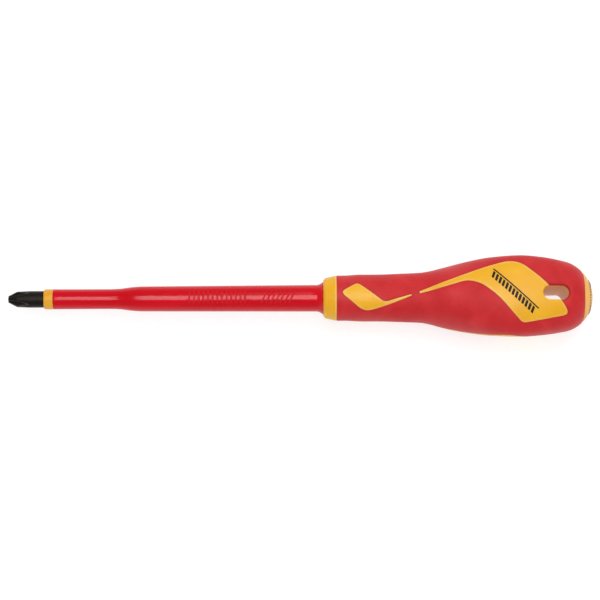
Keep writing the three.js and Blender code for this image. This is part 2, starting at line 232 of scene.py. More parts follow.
def moulded_red_nylon(name, glossiest, dullest):
    """Polyamide moulded on to the bar: deep red with a wet-looking line of light where the tool was polished,
    faint lengthwise drag marks, and a few dull scuffs from other tools in the bag."""
    made, tree, place = material(name)
    drawn = add(tree, "ShaderNodeMapping", {"Vector": place, "Scale": (0.08, 1.0, 1.0)})
    cloud = add(
        tree, "ShaderNodeTexNoise", {"Vector": drawn, "Scale": per_mm(3.5), "Detail": 3.0, "Roughness": 0.5}
    )
    pigment = add(
        tree,
        "ShaderNodeValToRGB",
        {"Fac": cloud},
        stops=[(0.3, "#C60014"), (0.52, "#CE0018"), (0.72, "#D6061F")],
    )
    scuff = add(
        tree,
        "ShaderNodeTexNoise",
        {"Vector": place, "Scale": per_mm(1.6), "Detail": 5.0, "Roughness": 0.65, "Distortion": 1.2},
    )
    colour = flecked(tree, pigment, scuff, 0.64, 0.8, 0.12, "#CF4A4C")
    gloss = add(
        tree,
        "ShaderNodeMapRange",
        {"Value": scuff, "From Min": 0.45, "From Max": 0.8, "To Min": glossiest, "To Max": dullest},
    )
    bump = add(tree, "ShaderNodeBump", {"Height": cloud, "Strength": 0.06, "Distance": 0.05 * MM})
    shader = add(
        tree,
        "ShaderNodeBsdfPrincipled",
        {
            "Base Color": colour,
            "Roughness": gloss,
            "Normal": bump,
            "IOR": 1.53,
            "Specular IOR Level": 0.26,
        },
    )
    add(tree, "ShaderNodeOutputMaterial", {"Surface": shader})
    return made


# A wave texture draws this many bands in the length that its scale gives.
WAVE_BANDS = 20


def black_oxide_steel():
    """Hardened tool steel, turned and then blacked in a hot salt bath: near black with a brown cast,
    crystalline mottling, rings left by the lathe, and bare grey metal where the flutes' edges have rubbed."""
    made, tree, place = material("tool_steel_black_oxide")
    crystals = add(
        tree, "ShaderNodeTexNoise", {"Vector": place, "Scale": per_mm(0.6), "Detail": 5.0, "Roughness": 0.7}
    )
    oxide = add(
        tree,
        "ShaderNodeValToRGB",
        {"Fac": crystals},
        stops=[(0.3, "#181512"), (0.5, "#1F1B18"), (0.72, "#2C2721")],
    )
    edge = add(tree, "ShaderNodeAttribute", attribute_name="edge")
    worn = add(tree, "ShaderNodeMath", {0: edge.outputs["Fac"], 1: crystals}, operation="MULTIPLY")
    colour = add(tree, "ShaderNodeMix", {"Factor": worn, 6: oxide, 7: linear("#6E6860")}, data_type="RGBA")
    # The turning feed is about 0.2 mm a turn, drawn at 0.4 mm so that the rings can be seen.
    rings = add(
        tree,
        "ShaderNodeTexWave",
        {"Vector": place, "Scale": per_mm(0.4) / WAVE_BANDS, "Distortion": 0.4, "Detail": 1.0},
        wave_type="BANDS",
        bands_direction="X",
    )
    rough_mix = add(tree, "ShaderNodeMath", {0: rings.outputs["Fac"], 1: crystals}, operation="ADD")
    gloss = add(
        tree,
        "ShaderNodeMapRange",
        {"Value": crystals, "From Min": 0.3, "From Max": 0.7, "To Min": 0.38, "To Max": 0.56},
    )
    bump = add(tree, "ShaderNodeBump", {"Height": rough_mix, "Strength": 0.25, "Distance": 0.03 * MM})
    shader = add(
        tree,
        "ShaderNodeBsdfPrincipled",
        {"Base Color": colour.outputs[2], "Metallic": 0.8, "Roughness": gloss, "Normal": bump},
    )
    add(tree, "ShaderNodeOutputMaterial", {"Surface": shader})
    return made


def pad_print_ink():
    """Two-part ink from a soft pad: brown-black, satin, and thin in pinholes where the pad lifted."""
    made, tree, place = material("pad_print_ink_black")
    pinholes = add(
        tree, "ShaderNodeTexNoise", {"Vector": place, "Scale": per_mm(0.5), "Detail": 3.0, "Roughness": 0.6}
    )
    colour = add(
        tree,
        "ShaderNodeValToRGB",
        {"Fac": pinholes},
        stops=[(0.3, "#221004"), (0.6, "#2A1708"), (0.8, "#503810")],
    )
    bump = add(tree, "ShaderNodeBump", {"Height": pinholes, "Strength": 0.1, "Distance": 0.02 * MM})
    shader = add(
        tree,
        "ShaderNodeBsdfPrincipled",
        {"Base Color": colour, "Roughness": 0.5, "Normal": bump, "IOR": 1.5, "Specular IOR Level": 0.2},
    )
    add(tree, "ShaderNodeOutputMaterial", {"Surface": shader})
    return made


def natural_polyamide():
    """Uncoloured glass-filled polyamide, moulded rough because later shots cover it: grey-cream with fibre
    streaks along the flow."""
    made, tree, place = material("polyamide_glass_filled_natural")
    drawn = add(tree, "ShaderNodeMapping", {"Vector": place, "Scale": (0.15, 1.0, 1.0)})
    fibres = add(
        tree, "ShaderNodeTexNoise", {"Vector": drawn, "Scale": per_mm(0.6), "Detail": 4.0, "Roughness": 0.6}
    )
    colour = add(
        tree,
        "ShaderNodeValToRGB",
        {"Fac": fibres},
        stops=[(0.3, "#8C8A80"), (0.55, "#9C9A8F"), (0.75, "#B0AD9F")],
    )
    bump = add(tree, "ShaderNodeBump", {"Height": fibres, "Strength": 0.4, "Distance": 0.05 * MM})
    shader = add(
        tree,
        "ShaderNodeBsdfPrincipled",
        {"Base Color": colour, "Roughness": 0.6, "Normal": bump, "IOR": 1.53},
    )
    add(tree, "ShaderNodeOutputMaterial", {"Surface": shader})
    return made


def lit_table():
    """Opal acrylic table top, lit from below: matt white, with shadows washed out."""
    made, tree, place = material("acrylic_opal_lit")
    tooth = add(tree, "ShaderNodeTexNoise", {"Vector": place, "Scale": per_mm(3), "Detail": 2.0})
    colour = add(tree, "ShaderNodeValToRGB", {"Fac": tooth}, stops=[(0.3, "#A0A0A0"), (0.7, "#A6A6A6")])
    shader = add(
        tree,
        "ShaderNodeBsdfPrincipled",
        {
            "Base Color": colour,
            "Roughness": 0.9,
            "Emission Color": linear("#FFFFFF"),
            "Emission Strength": 0.72,
        },
    )
    add(tree, "ShaderNodeOutputMaterial", {"Surface": shader})
    return made


BODY_YELLOW = moulded_yellow("polypropylene_yellow_body", "#E9A910", "#EDB017", "#F1B824", 0.4)
SLEEVE_YELLOW = moulded_yellow("polyamide_yellow_inner", "#E29F18", "#E6A41E", "#EAAC2B", 0.42)
CAP_YELLOW = moulded_yellow("polypropylene_yellow_cap", "#F0AE4E", "#F5B557", "#F8BE66", 0.4)
# The cap's ticks are coloured a darker grey-brown than the cap.
CAP_MARKS = moulded_yellow("polypropylene_cap_marks_dark", "#8F7544", "#9A804E", "#A88E5C", 0.5)
GRIP_RED = soft_touch_red()
SLEEVE_RED = moulded_red_nylon("polyamide_red_polished", 0.15, 0.27)
MARKS_RED = moulded_red_nylon("polyamide_red_spark_eroded", 0.6, 0.75)
BLADE_STEEL = black_oxide_steel()
PRINT_INK = pad_print_ink()
CORE_GREY = natural_polyamide()


# ---- Meshes ----

# Points closer than this are one point.
WELD = 0.002
TURNED_SIDES = 96


def piece(name, points, faces, finish, edge=None, crease=32):
    """A closed piece from points in millimetres. Points that fall together are joined, faces are turned
    outwards, and bends sharper than the crease angle keep a crisp edge. edge marks, from 0 to 1, how
    strongly each point takes its finish's second colour: wear on the blade, painted shade on the grip and
    painted light on the body."""
    mesh = bpy.data.meshes.new(name)
    mesh.from_pydata((np.asarray(points, float) * MM).tolist(), [], [list(map(int, f)) for f in faces])
    marks = mesh.attributes.new("edge", "FLOAT", "POINT")
    if edge is not None:
        marks.data.foreach_set("value", np.asarray(edge, np.float32))
    shell = bmesh.new()
    shell.from_mesh(mesh)
    bmesh.ops.remove_doubles(shell, verts=shell.verts, dist=WELD * MM)
    bmesh.ops.recalc_face_normals(shell, faces=shell.faces)
    shell.to_mesh(mesh)
    shell.free()
    mesh.shade_smooth()
    mesh.set_sharp_from_angle(angle=math.radians(crease))
    mesh.materials.append(finish)
    made = bpy.data.objects.new(name, mesh)
    scene.collection.objects.link(made)
    return made


def tube_faces(rings, sides, first=0, looped=False):
    """Faces between successive rings of points, which start at the point first."""
    spans = [(i, (i + 1) % rings) for i in range(rings if looped else rings - 1)]
    return [
        (
            first + a * sides + j,
            first + a * sides + (j + 1) % sides,
            first + b * sides + (j + 1) % sides,
            first + b * sides + j,
        )
        for a, b in spans
        for j in range(sides)
    ]


def round_axis(x, radius, turn):
    """Points at a radius from the blade's axis and a turn from +Z towards +Y."""
    x = np.broadcast_to(x, np.shape(turn))
    return np.stack([x, radius * np.sin(turn), radius * np.cos(turn)], axis=1)


def turned_points(profile, sides, start=0.0):
    """A profile of (x, radius) turned about the axis, ring after ring, each beginning at the start angle."""
    x, radius = np.repeat(np.asarray(profile, float), sides, axis=0).T
    return round_axis(x, radius, np.tile(start + np.arange(sides) * 2 * math.pi / sides, len(profile)))


def turned(name, profile, finish, looped=False, crease=32):
    """A turned piece. A looped profile goes round a wall; any other starts and ends on the axis."""
    faces = tube_faces(len(profile), TURNED_SIDES, looped=looped)
    return piece(name, turned_points(profile, TURNED_SIDES), faces, finish, crease=crease)


def smooth_through(pairs):
    """A smooth curve through (x, value) pairs that never swings past them."""
    xs, values = np.array(pairs, float).T
    steps = np.diff(xs)
    rises = np.diff(values) / steps
    slopes = np.concatenate([[rises[0]], np.zeros(len(xs) - 2), [rises[-1]]])
    for i in range(1, len(xs) - 1):
        if rises[i - 1] * rises[i] > 0:
            near = 2 * steps[i] + steps[i - 1]
            far = steps[i] + 2 * steps[i - 1]
            slopes[i] = (near + far) / (near / rises[i - 1] + far / rises[i])

    def curve(x):
        x = np.asarray(x, float)
        i = np.clip(np.searchsorted(xs, x, side="right") - 1, 0, len(steps) - 1)
        t = np.clip((x - xs[i]) / steps[i], 0, 1)
        return (
            (1 + 2 * t) * (1 - t) ** 2 * values[i]
            + t * (1 - t) ** 2 * steps[i] * slopes[i]
            + t * t * (3 - 2 * t) * values[i + 1]
            + t * t * (t - 1) * steps[i] * slopes[i + 1]
        )

    return curve


def blend(low, high, value):
    """0 below low, 1 above high, and a soft rise between."""
    t = np.clip((np.asarray(value, float) - low) / (high - low), 0, 1)
    return t * t * (3 - 2 * t)


# ---- The handle's skin ----

HANDLE_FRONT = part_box("handle_body")[0].x / MM
HANDLE_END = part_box("end_cap")[1].x / MM
HANDLE_LENGTH = HANDLE_END - HANDLE_FRONT
GRIP_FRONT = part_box("soft_grip")[0].x / MM
CAP_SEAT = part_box("handle_body")[1].x / MM

NECK_RADIUS = 11.2
BELLY_RADIUS = 19.37
DOME_RADIUS = 17.2
DOME_CENTRE = HANDLE_END - DOME_RADIUS
CAP_RADIUS = 11.5
DOME_START = DOME_CENTRE + math.sqrt(DOME_RADIUS**2 - CAP_RADIUS**2)
GRIP_THICKNESS = 2.2
# Between pieces that are not seen to meet, and between two faces moulded against each other.
GAP = 0.3
MOULDED_GAP = 0.03


def along_handle(percent):
    """The station at that percent of the handle's length."""
    return HANDLE_FRONT + percent / 100 * HANDLE_LENGTH


# The skin is part of the rear dome behind this station.
DOME_SKIN_START = along_handle(89.9)

# Mean radius: percent of the handle's length, and share of the rise from neck to belly.
BELLY_RISE = [
    (4, -0.05), (8, -0.05), (13.5, 0), (19.5, 0), (28.5, 0.043), (36, 0.095), (39.7, 0.193),
    (43.4, 0.348), (47.1, 0.497), (54.5, 0.744), (62, 0.913), (73, 1), (80.5, 0.914), (84.5, 0.83),
]  # fmt: skip
# How far the three faces are drawn in and the three lobes between them stand out.
LOBE_DEPTH = [
    (0, 0), (36, 0), (45.5, -0.4), (52, 0.15), (57.5, 0.75), (65, 1.35), (73, 1.65), (80.5, 1.4), (88, 0.85),
]  # fmt: skip


def dome_radius_at(x):
    return np.sqrt(np.maximum(0, DOME_RADIUS**2 - (np.asarray(x, float) - DOME_CENTRE) ** 2))


belly_curve = smooth_through(
    [(along_handle(p), NECK_RADIUS + share * (BELLY_RADIUS - NECK_RADIUS)) for p, share in BELLY_RISE]
    + [(DOME_SKIN_START, float(dome_radius_at(DOME_SKIN_START)))]
)
lobe_depth = smooth_through([(along_handle(p), depth) for p, depth in LOBE_DEPTH] + [(DOME_START, 0)])


def mean_radius(x):
    return np.where(np.asarray(x) < DOME_SKIN_START, belly_curve(x), dome_radius_at(x))


def section(x, angle):
    """The skin's y and z at stations x and angles from +Z towards +Y: the place where a line at the mean
    radius, less the lobes' depth, touches it."""
    lobes = lobe_depth(x)
    reach = mean_radius(x) - lobes * np.cos(3 * angle)
    slip = 3 * lobes * np.sin(3 * angle)
    return (
        reach * np.sin(angle) + slip * np.cos(angle),
        reach * np.cos(angle) - slip * np.sin(angle),
    )


SLOPE_STEP = 0.01


def skin_normal(x, angle):
    slope = (mean_radius(x + SLOPE_STEP) - mean_radius(x - SLOPE_STEP)) / (2 * SLOPE_STEP)
    length = np.hypot(1, slope)
    return np.stack([-slope / length, np.sin(angle) / length, np.cos(angle) / length], axis=-1)


HALVINGS = 44


def angle_across(x, across, middle=0.0):
    """The angle, within a quarter turn of middle, at which the section is that far across to +Y."""
    x, across = np.broadcast_arrays(np.asarray(x, float), np.asarray(across, float))
    low = np.full(x.shape, middle - math.pi / 2)
    high = np.full(x.shape, middle + math.pi / 2)
    rising = math.cos(middle) > 0
    for _ in range(HALVINGS):
        angle = (low + high) / 2
        short = (section(x, angle)[0] < across) == rising
        low = np.where(short, angle, low)
        high = np.where(short, high, angle)
    return low


# ---- Outlines on the handle, seen square on to a face ----

# Corners of the colour flashes: percent of the handle's length, percent of the belly's radius across, and
# share of the shorter side that the corner rounds off.
FRONT_FLASH = [
    (6.2, 8, 0.32), (12.6, 31, 0.16), (22.5, -18.3, 0.15), (32.3, 0.3, 0.4), (32.5, -2.8, 0.4),
    (25, -22.5, 0.38), (15.1, -41, 0.32),
]  # fmt: skip
REAR_FLASH = [
    (35.3, 7.2, 0.45), (59.3, 65.4, 0.5), (70.8, 86.3, 0.44), (80.7, 31.5, 0.3), (87.5, -21.7, 0.29),
    (90.2, -52.4, 0.44), (72.9, -73.6, 0.12), (63.6, -5.2, 0.5), (57.7, 23.7, 0.4), (53, 33, 0.5),
    (35.3, 1.5, 0.45),
]  # fmt: skip
ROUNDING_STEPS = 7
# How far a side bows out, as a share of its length, and the longest step along it.
SIDE_BOW = 0.01
LONGEST_STEP = 1.0

SLOT_LENGTH = 12.4
SLOT_WIDTH = 6.8
SLOT_CENTRE = HANDLE_END - 18.9
SLOT_END_POINTS = 25
SLOT_SIDE_POINTS = 5


def bezier(start, middle, end, steps):
    """Points on the curve from start to end that middle pulls towards itself."""
    t = np.linspace(0, 1, steps + 1)[:, None]
    return (1 - t) ** 2 * start + 2 * t * (1 - t) * middle + t**2 * end


def rounded_outline(corners):
    """A flash's outline in (x, distance to +Y), with its corners rounded and its sides slightly bowed."""
    spots = np.array([(along_handle(p), across / 100 * BELLY_RADIUS) for p, across, _ in corners])
    outline = []
    for i, corner in enumerate(spots):
        into = spots[i - 1] - corner
        out = spots[(i + 1) % len(spots)] - corner
        cut = corners[i][2] * min(np.hypot(*into), np.hypot(*out))
        start = corner + into / np.hypot(*into) * cut
        end = corner + out / np.hypot(*out) * cut
        outline.extend(bezier(start, corner, end, ROUNDING_STEPS))
    fine = []
    for point, after in zip(outline, outline[1:] + outline[:1]):
        side = after - point
        middle = (point + after) / 2 + SIDE_BOW * np.array([-side[1], side[0]])
        pieces = max(1, math.ceil(np.hypot(*side) / LONGEST_STEP))
        fine.extend(bezier(point, middle, after, pieces)[:-1])
    return np.array(fine)


def slot_outline():
    half = (SLOT_LENGTH - SLOT_WIDTH) / 2
    turns = np.radians(np.linspace(-90, 90, SLOT_END_POINTS))
    end = np.stack([half + SLOT_WIDTH / 2 * np.cos(turns), SLOT_WIDTH / 2 * np.sin(turns)], axis=1)
    straight = np.linspace(half, -half, SLOT_SIDE_POINTS + 2)[1:-1]
    side = np.stack([straight, np.full(SLOT_SIDE_POINTS, SLOT_WIDTH / 2)], axis=1)
    loop = np.concatenate([end, side])
    return np.concatenate([loop, -loop]) + [SLOT_CENTRE, 0]


def widened(outline, by):
    """The outline moved outwards, whichever way round it runs."""
    along = np.roll(outline, -1, axis=0) - np.roll(outline, 1, axis=0)
    along /= np.hypot(along[:, 0], along[:, 1])[:, None]
    x, y = outline.T
    turn = 1 if np.sum(x * np.roll(y, -1) - np.roll(x, -1) * y) > 0 else -1
    return outline + turn * by * np.stack([along[:, 1], -along[:, 0]], axis=1)


# Distances are worked out up to this far from an outline. Beyond it, a point is simply far away.
NEAR = 6
FAR_AWAY = 50.0


def distance_outside(outline, x, y):
    """How far each point is outside an outline; inside it, the distance is negative."""
    result = np.full(x.shape, FAR_AWAY)
    low, high = outline.min(axis=0) - NEAR, outline.max(axis=0) + NEAR
    near = (x > low[0]) & (x < high[0]) & (y > low[1]) & (y < high[1])
    px, py = x[near][:, None], y[near][:, None]
    ax, ay = outline.T
    bx, by = np.roll(outline, -1, axis=0).T
    dx, dy = bx - ax, by - ay
    t = np.clip(((px - ax) * dx + (py - ay) * dy) / (dx * dx + dy * dy), 0, 1)
    away = np.hypot(px - ax - t * dx, py - ay - t * dy).min(axis=1)
    level = np.where(dy == 0, 1.0, dy)
    crossing = ((ay > py) != (by > py)) & (px < ax + (py - ay) * dx / level)
    inside = crossing.sum(axis=1) % 2 == 1
    result[near] = np.where(inside, -away, away)
    return result


FLASHES = [rounded_outline(FRONT_FLASH), rounded_outline(REAR_FLASH)]
FACE_TURNS = [0.0, 2 * math.pi / 3, 4 * math.pi / 3]
SLOT = slot_outline()


class Sheet:
    """The handle's skin unrolled: x along it and the angle round it, cut into triangles that follow the edges
    of the flashes and the slot."""

    SEAM = math.radians(-58)
    # The radius at which an angle becomes a length on the flat sheet.
    FLAT_RADIUS = 18.0
    # Points round the sheet, and the most between two stations along it.
    ROUND = 144
    STEP = 1.2
    # The part of the turn, each way from a face's middle, that its flashes can lie in.
    FACE_REACH = math.radians(80)
    # Within these distances of the slot, the depth turns from along its walls to square to the skin.
    SLOT_PULL = (2.0, 4.5)
    # The cutting works in single precision, so a station is matched to within this.
    SAME = 1e-3
    SAME_ANGLE = 1e-6
    CUT_TOLERANCE = 1e-5

    def __init__(self, front, end, flashes, flash_offsets, slot_offsets, flash_band, slot_band):
        """A loop of points runs at each offset from the edges. The bands round them hold no other point."""
        self.flashes = flashes
        loops = []
        for outline in flashes:
            for offset in flash_offsets:
                loop = widened(outline, offset)
                for turn in FACE_TURNS:
                    loops.append((loop[:, 0], turn + angle_across(loop[:, 0], loop[:, 1])))
        for offset in slot_offsets:
            loop = widened(SLOT, offset)
            for middle in (0.0, math.pi):
                loops.append((loop[:, 0], angle_across(loop[:, 0], loop[:, 1], middle)))
        stations = np.linspace(front, end, round((end - front) / self.STEP) + 1)
        turns = self.SEAM + np.linspace(0, 2 * math.pi, self.ROUND + 1)
        grid_x, grid_turn = [a.ravel() for a in np.meshgrid(stations, turns, indexing="ij")]
        flash, slot = self.distances(grid_x, grid_turn)
        border = np.isin(grid_x, [front, end]) | np.isin(grid_turn, turns[[0, -1]])
        clear = ((flash < flash_band[0]) | (flash > flash_band[1])) & (slot > slot_band)
        kept = border | clear
        xs, angles, edges = [grid_x[kept]], [grid_turn[kept]], []
        count = int(kept.sum())
        for loop_x, loop_turn in loops:
            size = len(loop_x)
            edges.extend((count + i, count + (i + 1) % size) for i in range(size))
            xs.append(loop_x)
            angles.append(loop_turn)
            count += size
        flat = np.stack([np.concatenate(xs), np.concatenate(angles) * self.FLAT_RADIUS], axis=1)
        cut = delaunay_2d_cdt([Vector(p) for p in flat.tolist()], edges, [], 0, self.CUT_TOLERANCE)
        spots = np.array([tuple(v) for v in cut[0]])
        self.x = spots[:, 0]
        self.angle = spots[:, 1] / self.FLAT_RADIUS
        self.faces = np.array(cut[2])
        self.flash, self.slot = self.distances(self.x, self.angle)
        middle_x = self.x[self.faces].mean(axis=1)
        middle_angle = self.angle[self.faces].mean(axis=1)
        self.face_flash, self.face_slot = self.distances(middle_x, middle_angle)

    def distances(self, x, angle):
        """How far each place is outside the nearest flash, and outside the slot."""
        flash = np.full(x.shape, FAR_AWAY)
        for turn in FACE_TURNS:
            own = (angle - turn + math.pi) % (2 * math.pi) - math.pi
            facing = np.abs(own) < self.FACE_REACH
            across = section(x, own)[0]
            for outline in self.flashes:
                away = distance_outside(outline, x, across)
                flash = np.where(facing, np.minimum(flash, away), flash)
        return flash, distance_outside(SLOT, x, section(x, angle)[0])

    def points(self, depth):
        """The sheet rolled up at a depth under the skin. Beside the slot, the depth runs along its walls."""
        y, z = section(self.x, self.angle)
        inwards = -skin_normal(self.x, self.angle)
        down = np.zeros_like(inwards)
        down[:, 2] = -np.sign(z)
        share = 1 - blend(*self.SLOT_PULL, self.slot)[:, None]
        direction = (1 - share) * inwards + share * down
        direction /= np.linalg.norm(direction, axis=1)[:, None]
        return np.stack([self.x, y, z], axis=1) + np.asarray(depth)[:, None] * direction


def open_edges(faces):
    """The directed edges that only one face uses."""
    directed = np.concatenate([faces[:, [0, 1]], faces[:, [1, 2]], faces[:, [2, 0]]])
    _, first, count = np.unique(np.sort(directed, axis=1), axis=0, return_index=True, return_counts=True)
    return directed[first[count == 1]]


def zipped(one, other, one_turn, other_turn):
    """Triangles between two loops of points, each sorted by the turn at which its points lie."""
    faces = []
    i = j = 0
    while i < len(one) or j < len(other):
        next_one = one_turn[(i + 1) % len(one)] + 2 * math.pi * ((i + 1) // len(one))
        next_other = other_turn[(j + 1) % len(other)] + 2 * math.pi * ((j + 1) // len(other))
        here, there = one[i % len(one)], other[j % len(other)]
        if j >= len(other) or (i < len(one) and next_one <= next_other):
            faces.append((here, one[(i + 1) % len(one)], there))
            i += 1
        else:
            faces.append((here, other[(j + 1) % len(other)], there))
            j += 1
    return faces


# ---- Soft grip ----

# The width of the line between a flash and its window.
HAIRLINE = 0.04
# Distances from an edge and the skin's depth there: a window's lip, the slot's rolled rim and the rear rim.
LIP = ([0, 0.06, 0.15, 0.3], [0.14, 0.05, 0.01, 0])
SLOT_ROLL = ([0, 0.1, 0.3, 0.6, 1.0, 1.5], [1.5, 0.96, 0.6, 0.3, 0.086, 0])
END_ROLL = ([0, 0.1, 0.3, 0.6], [0.3, 0.12, 0.03, 0])
GRIP_RIM_RADIUS = CAP_RADIUS + HAIRLINE
GRIP_END = DOME_CENTRE + math.sqrt(DOME_RADIUS**2 - GRIP_RIM_RADIUS**2)
# Painted shade at a window's rim and at the slot's rolled rim, where the grip turns from the light: how
# strong, and the distances between which it fades.
WINDOW_PAINTED_SHADE = (0.6, 0.1, 0.8)
SLOT_PAINTED_SHADE = (0.8, 0.3, 1.6)


def painted_light_near(painted_mark, distance):
    """How strongly painted shade or painted light lies on each point at its distance from an edge."""
    strength, full, none = painted_mark
    return strength * (1 - blend(full, none, distance))


def make_soft_grip():
    # Moulded on to the body, the grip touches it, so only a hairline shows round a flash.
    windows = [widened(outline, HAIRLINE) for outline in FLASHES]
    # No loose point lies on the flashes, where the grip is cut away, nor on the rims.
    sheet = Sheet(
        GRIP_FRONT, GRIP_END, windows, LIP[0], SLOT_ROLL[0], flash_band=(-FAR_AWAY, 0.9), slot_band=2.0
    )
    faces = sheet.faces[(sheet.face_flash > 0) & (sheet.face_slot > 0)]
    lip = np.interp(sheet.flash, *LIP)
    roll = np.interp(sheet.slot, *SLOT_ROLL)
    ends = np.interp(GRIP_END - sheet.x, *END_ROLL)
    outer_depth = np.maximum.reduce([lip, roll, ends])
    # The inside follows the under-skin, and then the straight bore that the cap sits in.
    dome_share = np.clip(mean_radius(sheet.x) / DOME_RADIUS, 0.1, 1)
    bore_depth = np.where(sheet.x > DOME_SKIN_START, DOME_RADIUS - GRIP_RIM_RADIUS / dome_share, FAR_AWAY)
    inner_depth = np.maximum(np.minimum(GRIP_THICKNESS, bore_depth), outer_depth)
    inner_depth = np.where(sheet.x > GRIP_END - Sheet.SAME, outer_depth, inner_depth)
    outer, inner = sheet.points(outer_depth), sheet.points(inner_depth)
    count = len(outer)
    walls = [(a, b, b + count, a + count) for a, b in open_edges(faces)]
    # The seam's two sides lie on each other and are joined, so no wall goes there.
    from_seam = np.minimum(sheet.angle - sheet.angle.min(), sheet.angle.max() - sheet.angle)
    seam = from_seam < Sheet.SAME_ANGLE
    walls = [w for w in walls if not (seam[w[0]] and seam[w[1]] and sheet.x[w[0]] != sheet.x[w[1]])]
    # Painted shade: darker red round each window and the slot's rim.
    edge = np.tile(np.maximum(painted_light_near(WINDOW_PAINTED_SHADE, sheet.flash), painted_light_near(SLOT_PAINTED_SHADE, sheet.slot)), 2)
    all_faces = faces.tolist() + (faces[:, ::-1] + count).tolist() + walls
    return piece("grip_skin", np.concatenate([outer, inner]), all_faces, GRIP_RED, edge, crease=40)


# ---- Handle body ----

UNDER_SKIN = GRIP_THICKNESS + GAP
COLLAR_BACK = GRIP_FRONT - MOULDED_GAP
SLEEVE_BORE = 6.3
# Distance in from an edge and depth of the rounded lip there, for a flash and for the slot.
ISLAND_EDGE = ([-0.02, 0, 0.06, 0.15, 0.3], [UNDER_SKIN, 0.1, 0.04, 0.01, 0])
SLOT_EDGE = ([0, 0.08, 0.2], [0.16, 0.04, 0])
SOCKET_RADIUS = 7.3
SOCKET_FLOOR = CAP_SEAT - 3
# The collar's rounded shoulder: distance in front of its back, and depth below the skin there.
COLLAR_SHOULDER = [(0, 0.45), (0.1, 0.2), (0.35, 0.06), (0.6, 0.09), (0.9, 0.15)]
# The collar's front: distance behind the handle's front, and radius.
COLLAR_FRONT = [(3.8, 10.27), (1.35, 9.72), (1.05, 9.6), (0.8, 9.4), (0.15, 8.75), (0, 8.5)]
BORE_CHAMFER = 0.15
# Painted light, given as the grip's painted shade is: a painted highlight along a flash's rim, and the
# slot's wall painted paler, standing in for more light there.
ISLAND_PAINTED_HIGHLIGHT = (0.5, 0.15, 0.6)
SLOT_WALL_PAINTED_LIGHT = (1, 0, 0.05)
# A painted highlight along the collar's back rim: how strong, and how wide.
COLLAR_PAINTED_HIGHLIGHT = 0.6
COLLAR_HIGHLIGHT_WIDTH = 0.7

# The hollow for the core follows the skin's mean radius by a share, and has a keyway under each lobe.
CORE_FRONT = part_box("anchor_core")[0].x / MM
CORE_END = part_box("anchor_core")[1].x / MM
CORE_NECK = 6.3
CORE_BELLY = 12.57
CORE_FOLLOW = 0.8
KEY_FRONT = along_handle(58)
KEY_END = CORE_END - 4
KEY_RADIUS = 13.95
KEY_REACH = math.radians(8.1)


def core_hollow(turns):
    """Rings round the hollow for the core, from its open front to the flat at its end, with its keyways."""
    keyed = np.abs(turns % (2 * math.pi / 3) - math.pi / 3) < KEY_REACH
    key_ends = [KEY_FRONT - 2 * GAP, KEY_FRONT - GAP, KEY_END + GAP, KEY_END + 2 * GAP]
    stations = np.sort(np.concatenate([np.linspace(CORE_FRONT - GAP, CORE_END + GAP, 20), key_ends]))
    rings = []
    for x in stations:
        radius = min(CORE_BELLY, CORE_NECK + CORE_FOLLOW * (float(mean_radius(x)) - NECK_RADIUS)) + GAP
        in_key = KEY_FRONT - 1.5 * GAP < x < KEY_END + 1.5 * GAP
        reach = np.where(keyed & in_key, KEY_RADIUS + GAP, radius)
        rings.append(round_axis(x, reach, turns))
    rings.append(rings[-1] * [1, 0, 0])
    return rings


